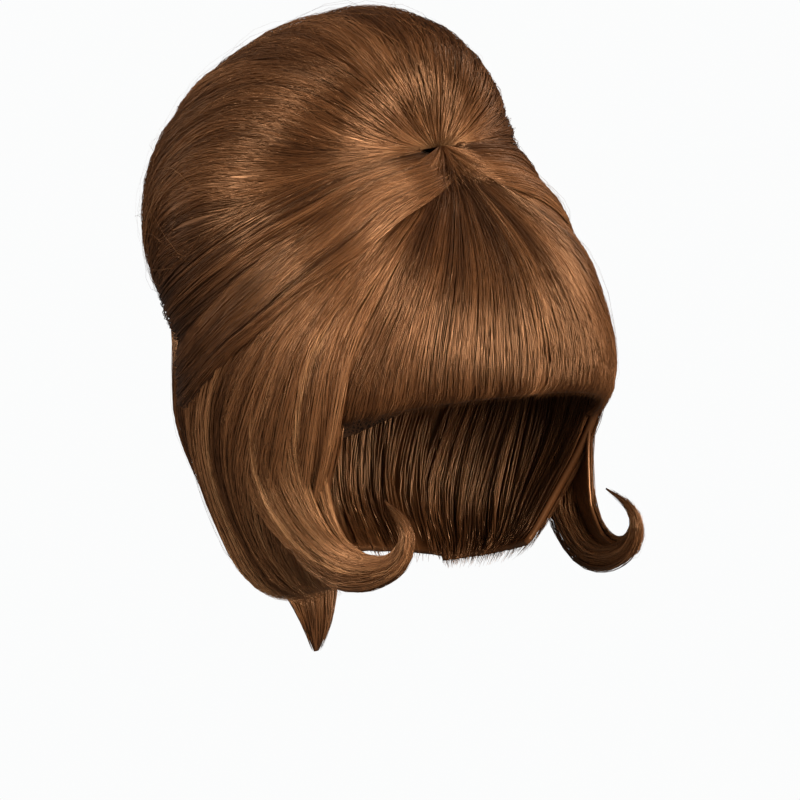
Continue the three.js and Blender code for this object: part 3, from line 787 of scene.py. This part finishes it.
fall = Sheet(fall_place, width=0.2, length=0.2, locks=12, sway=4 * MM, relief=1 * MM, seed=80)
under_layer("fall_under", "crown_puff", fall, 70, 40, 1 * MM, depth=0.9 * MM, since=0.28, until=0.93)
comb(
    "fall_strands", "crown_puff", fall, 1050, rings=9, wisps=50, begin=(-0.1, 0.45), length=(0.4, 0.9),
    height=(-0.6, 0.3), slant=0.03, radius=0.26, tone=0.45, ragged=0.15, seed=82,
)

# The cheek curls
# The front lock of the side hair on each side, which turns forward on the cheek in an open curl to a fine
# tip. It is set round a core, and strands sweep into it out of the side hair.
CURL_WIDTH = 20 * MM
CURL_THICKNESS = 8 * MM
# out, forward, drop, width, thickness
CURL_STATIONS = with_strand((
    (0.905, 0.49, 0.44, 0.3, 0.3),
    (0.9, 0.42, 0.52, 0.6, 0.5),
    (0.893, 0.33, 0.6, 0.8, 0.7),
    (0.87, 0.265, 0.68, 1, 0.9),
    (0.84, 0.3, 0.75, 1, 1),
    (0.805, 0.446, 0.797, 0.85, 0.95),
    (0.785, 0.6, 0.8, 0.65, 0.85),
    (0.76, 0.724, 0.78, 0.5, 0.75),
    (0.745, 0.818, 0.746, 0.42, 0.62),
    (0.735, 0.862, 0.697, 0.33, 0.48),
    (0.728, 0.816, 0.656, 0.2, 0.3),
    (0.715, 0.69, 0.63, 0.06, 0.1),
))


def lock_place(middle, sizes, widthwise):
    """The skin of a lock, round which the share across runs once."""

    def place(across, strand):
        width, thickness = sizes(strand)
        tangent = unit(middle(np.minimum(strand + 0.01, 1)) - middle(np.maximum(strand - 0.01, 0)))
        thin = unit(widthwise - tangent * np.sum(tangent * widthwise, axis=-1, keepdims=True))
        wide = np.cross(thin, tangent)
        turn = across * 2 * np.pi
        return (
            middle(strand)
            + wide * (np.cos(turn) * width / 2)[..., None]
            + thin * (np.sin(turn) * thickness / 2)[..., None]
        )

    return place


def curl_place(side, shrink=1.0):
    def middle(strand):
        out, forward, drop = smooth(CURL_STATIONS, strand)[:3]
        lower = LEFT_DROP * np.minimum(1, 2 * strand) if side > 0 else 0
        beside = side * out * HAIR_WIDTH / 2
        return np.stack([beside, -forward * HAIR_FRONT, -drop * HAIR_DROP - lower], axis=-1)

    def sizes(strand):
        width, thickness = smooth(CURL_STATIONS, strand)[3:]
        return width * CURL_WIDTH * shrink, thickness * CURL_THICKNESS * shrink

    return lock_place(middle, sizes, np.array([1.0, 0, 0]))


def core(name, node, place, columns, rows, since=0.0):
    """The closed core that the strands of a lock lie on, from a share of the way along it."""
    bm = bmesh.new()
    bmesh.ops.create_grid(bm, x_segments=columns, y_segments=rows, size=0.5)
    shares = (np.array([vert.co[:2] for vert in bm.verts]) + 0.5) * [1, 1 - since] + [0, since]
    shade_map = bm.loops.layers.uv.new("Shade")
    fibre_map = bm.loops.layers.uv.new("Fibre")
    for vert, point in zip(bm.verts, place(shares[:, 0] % 1, shares[:, 1])):
        vert.co = point
    for face in bm.faces:
        for loop in face.loops:
            across, way = shares[loop.vert.index]
            loop[shade_map].uv = (UNDER_TONE, way)
            loop[fibre_map].uv = (across * 40, way * 120)
    bmesh.ops.remove_doubles(bm, verts=bm.verts, dist=0.01 * MM)
    bmesh.ops.holes_fill(bm, edges=[edge for edge in bm.edges if edge.is_boundary])
    bmesh.ops.recalc_face_normals(bm, faces=bm.faces)
    mesh = bpy.data.meshes.new(name)
    bm.to_mesh(mesh)
    bm.free()
    mesh.shade_smooth()
    return dress(name, mesh, node)


def sweep_place(side):
    """Out of the side hair into the outer face of the curl."""
    beside = side_place(side)
    round_curl = curl_place(side)

    def place(across, way):
        gone = np.clip((way - 0.2) / 0.56, 0, 1)
        gone = gone**2 * (3 - 2 * gone)
        start = beside(0.02 + 0.56 * across, 0.12 + 0.85 * way)
        end = round_curl(0.5 - side * 0.5 * across, 0.22 + 0.78 * np.clip((way - 0.3) / 0.7, 0, 1))
        return start + (end - start) * gone[..., None]

    return place


for side, hand in ((-1, "right"), (1, "left")):
    node = f"cheek_curl_{hand}"
    sweep = Sheet(
        sweep_place(side), width=0.04, length=0.2, locks=5, sway=1.5 * MM, relief=0.7 * MM, seed=66 + side,
        flip=side > 0,
    )
    under_layer(f"sweep_under_{hand}", node, sweep, 20, 44, 1.5 * MM, since=0.2, until=0.86)
    # The sweep's strands are painted lighter than the side hair they leave, a painted highlight where the
    # curl begins.
    comb(
        f"sweep_strands_{hand}", node, sweep, 600, rings=13, wisps=16, begin=(-0.1, 0.3), length=(0.6, 1.1),
        pull=0.1, wander=0.7, slant=0.05, height=(-0.8, 0.5), radius=0.27, ragged=0.22, tone=0.7, tip_shading=0.02,
        lock_shading=0.3, seed=68 + side,
    )
    core(f"curl_core_{hand}", node, curl_place(side, 0.75), 16, 50, since=0.36)
    curl = Sheet(
        curl_place(side), width=0.04, length=0.13, locks=6, sway=1 * MM, relief=0.5 * MM, seed=60 + side,
        flip=True,
    )
    comb(
        f"curl_strands_{hand}", node, curl, 320, rings=13, wisps=14, begin=(0.28, 0.5), length=(0.4, 0.7),
        pull=0.1, wander=0.5, slant=0.1, height=(-1.3, 0.2), radius=0.24, ragged=0.22, tone=0.56,
        seed=63 + side,
    )

# The nape point
# The small pointed lock at the neck, which hangs from under the back hair and thins out to a tip. It is a
# core with strands laid round it.
NAPE_WIDTH = 44 * MM
NAPE_THICKNESS = 7 * MM
NAPE_TIP_DROP = 241 * MM
# back, drop, width, thickness
NAPE_STATIONS = with_strand((
    (0.62, 0.8, 1, 0.9),
    (0.59, 0.85, 0.85, 1),
    (0.55, 0.9, 0.6, 0.8),
    (0.53, 0.95, 0.35, 0.55),
    (0.535, 1, 0.08, 0.15),
))


def nape_place(shrink=1.0):
    def middle(strand):
        back, drop = smooth(NAPE_STATIONS, strand)[:2]
        return np.stack([0 * back, back * HAIR_BACK, -drop * NAPE_TIP_DROP], axis=-1)

    def sizes(strand):
        width, thickness = smooth(NAPE_STATIONS, strand)[2:]
        return width * NAPE_WIDTH * shrink, thickness * NAPE_THICKNESS * shrink

    return lock_place(middle, sizes, np.array([0, 1.0, 0]))


core("nape_core", "nape_point", nape_place(0.8), 16, 20)
nape = Sheet(nape_place(), width=0.08, length=0.05, locks=8, sway=1 * MM, relief=0.5 * MM, seed=70, flip=True)
comb(
    "nape_strands", "nape_point", nape, 250, rings=7, wisps=14, begin=(-0.2, 0.3), length=(0.5, 1.0),
    pull=0.1, wander=0.4, height=(-1.2, 0.2), seed=71,
)

# The cap
# A knitted net of dark brown thread with rows of wefts sewn round it, seen inside the face opening and from
# below. It looks matt, with raised threads. The net's cells are 1.8 mm wide, and the weft rows are 1.8 mm
# high and 9 mm apart.
NET_CELL = 1.8 * MM
NET_THREAD = 0.16
NET_DEPTH = 0.3 * MM
WEFT_ROW = 9 * MM
WEFT_HEIGHT = 1.8 * MM

cap_net = bpy.data.materials.new("cap_net")
cap_net.use_nodes = True
tree = cap_net.node_tree
shader = tree.nodes["Principled BSDF"]
here = add_node(tree, "ShaderNodeTexCoord").outputs["Object"]
cells = add_node(
    tree, "ShaderNodeTexVoronoi", [("Vector", here)], feature="DISTANCE_TO_EDGE", Scale=1 / NET_CELL,
)
thread = add_node(tree, "ShaderNodeMath", [(0, cells.outputs["Distance"])], operation="LESS_THAN")
thread.inputs[1].default_value = NET_THREAD
height = add_node(tree, "ShaderNodeSeparateXYZ", [("Vector", here)])
row = add_node(tree, "ShaderNodeMath", [(0, height.outputs["Z"])], operation="PINGPONG")
row.inputs[1].default_value = WEFT_ROW / 2
weft = add_node(tree, "ShaderNodeMath", [(0, row.outputs[0])], operation="LESS_THAN")
weft.inputs[1].default_value = WEFT_HEIGHT / 2
threads = add_node(
    tree, "ShaderNodeMath", [(0, thread.outputs[0]), (1, weft.outputs[0])], operation="MAXIMUM",
)
colour = add_node(tree, "ShaderNodeMix", [("Factor", threads.outputs[0])], data_type="RGBA")
colour.inputs["A"].default_value = linear("#1a0f08")
colour.inputs["B"].default_value = linear("#3f2a1b")
raised = add_node(
    tree, "ShaderNodeBump", [("Height", threads.outputs[0])], Strength=1.0, Distance=NET_DEPTH,
)
tree.links.new(colour.outputs["Result"], shader.inputs["Base Color"])
tree.links.new(raised.outputs["Normal"], shader.inputs["Normal"])
shader.inputs["Roughness"].default_value = 0.85
shader.inputs["Specular IOR Level"].default_value = 0.15
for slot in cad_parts["wig_cap"].material_slots:
    slot.material = cap_net

# Camera, light and floor
# The photograph's view, 40 degrees to the wearer's right of the face and 10 degrees above it. A soft key
# light in front and a little above draws the band of shine on the fringe. Three weaker lights reach the two
# sides and the near edge of the back, and are named for their side of the picture.
def spot(azimuth, elevation, distance):
    """A place round the wig, from degrees to the wearer's left of the face and above, and metres away."""
    azimuth, elevation = math.radians(azimuth), math.radians(elevation)
    return Vector((
        math.sin(azimuth) * math.cos(elevation) * distance,
        -math.cos(azimuth) * math.cos(elevation) * distance,
        math.sin(elevation) * distance,
    ))


def aim(thing, at):
    thing.rotation_euler = (Vector(at) - thing.location).to_track_quat("-Z", "Y").to_euler()


# A long lens, aimed so that the wig stands where it does in the photograph
CAMERA_LENS = 198
CAMERA_DISTANCE = 2.0
PICTURE_MIDDLE = (-0.009, -0.0164, -0.1043)
camera_data = bpy.data.cameras.new("camera")
camera_data.sensor_width = 36
camera_data.lens = CAMERA_LENS
camera = bpy.data.objects.new("camera", camera_data)
bpy.context.scene.collection.objects.link(camera)
camera.location = spot(-40, 10, CAMERA_DISTANCE)
aim(camera, PICTURE_MIDDLE)
bpy.context.scene.camera = camera

# name, azimuth, elevation, size, power
LAMPS = (
    ("key", 0, 16, 1.2, 91),
    ("left_side", -100, 16, 0.9, 38),
    ("left_back", -150, 8, 0.9, 4),
    ("right_side", 82, 22, 1.0, 10),
)
LAMP_DISTANCE = 2.2
WIG_MIDDLE = (0, 0, -0.08)
for name, azimuth, elevation, size, power in LAMPS:
    lamp = bpy.data.lights.new(name, "AREA")
    lamp.color = linear("#ffeedd")[:3]
    lamp.size = size
    lamp.energy = power
    holder = bpy.data.objects.new(name, lamp)
    bpy.context.scene.collection.objects.link(holder)
    holder.location = spot(azimuth, elevation, LAMP_DISTANCE)
    aim(holder, WIG_MIDDLE)

# The backdrop is seen in full, lights the wig softly, and is dim in its shine.
BACKDROP = (0.97, 0.975, 0.975, 1)
world = bpy.data.worlds.new("studio")
bpy.context.scene.world = world
world.use_nodes = True
tree = world.node_tree
tree.nodes.clear()
out = add_node(tree, "ShaderNodeOutputWorld")
seen = add_node(tree, "ShaderNodeBackground", Color=BACKDROP, Strength=1.0)
lighting = add_node(tree, "ShaderNodeBackground", Color=(1, 1, 1, 1))
path = add_node(tree, "ShaderNodeLightPath")
dimmer = add_node(
    tree, "ShaderNodeMapRange", [("Value", path.outputs["Is Glossy Ray"])], To_Min=0.26, To_Max=0.06,
)
tree.links.new(dimmer.outputs["Result"], lighting.inputs["Strength"])
mix = add_node(
    tree,
    "ShaderNodeMixShader",
    [(0, path.outputs["Is Camera Ray"]), (1, lighting.outputs[0]), (2, seen.outputs[0])],
)
tree.links.new(mix.outputs[0], out.inputs["Surface"])

# A pale floor that glows as evenly as the backdrop, so that its edge doesn't show
FLOOR_HEIGHT = -0.5
FLOOR_SIZE = 20
bm = bmesh.new()
bmesh.ops.create_grid(bm, x_segments=1, y_segments=1, size=FLOOR_SIZE)
floor_mesh = bpy.data.meshes.new("floor")
bm.to_mesh(floor_mesh)
bm.free()
floor = bpy.data.objects.new("floor", floor_mesh)
bpy.context.scene.collection.objects.link(floor)
floor.location.z = FLOOR_HEIGHT
pale = bpy.data.materials.new("pale_floor")
pale.use_nodes = True
shader = pale.node_tree.nodes["Principled BSDF"]
shader.inputs["Base Color"].default_value = (0, 0, 0, 1)
shader.inputs["Specular IOR Level"].default_value = 0.0
shader.inputs["Emission Color"].default_value = BACKDROP
shader.inputs["Emission Strength"].default_value = 1.0
floor_mesh.materials.append(pale)
floor.visible_diffuse = False
floor.visible_glossy = False
bpy.context.scene.view_settings.view_transform = "Standard"
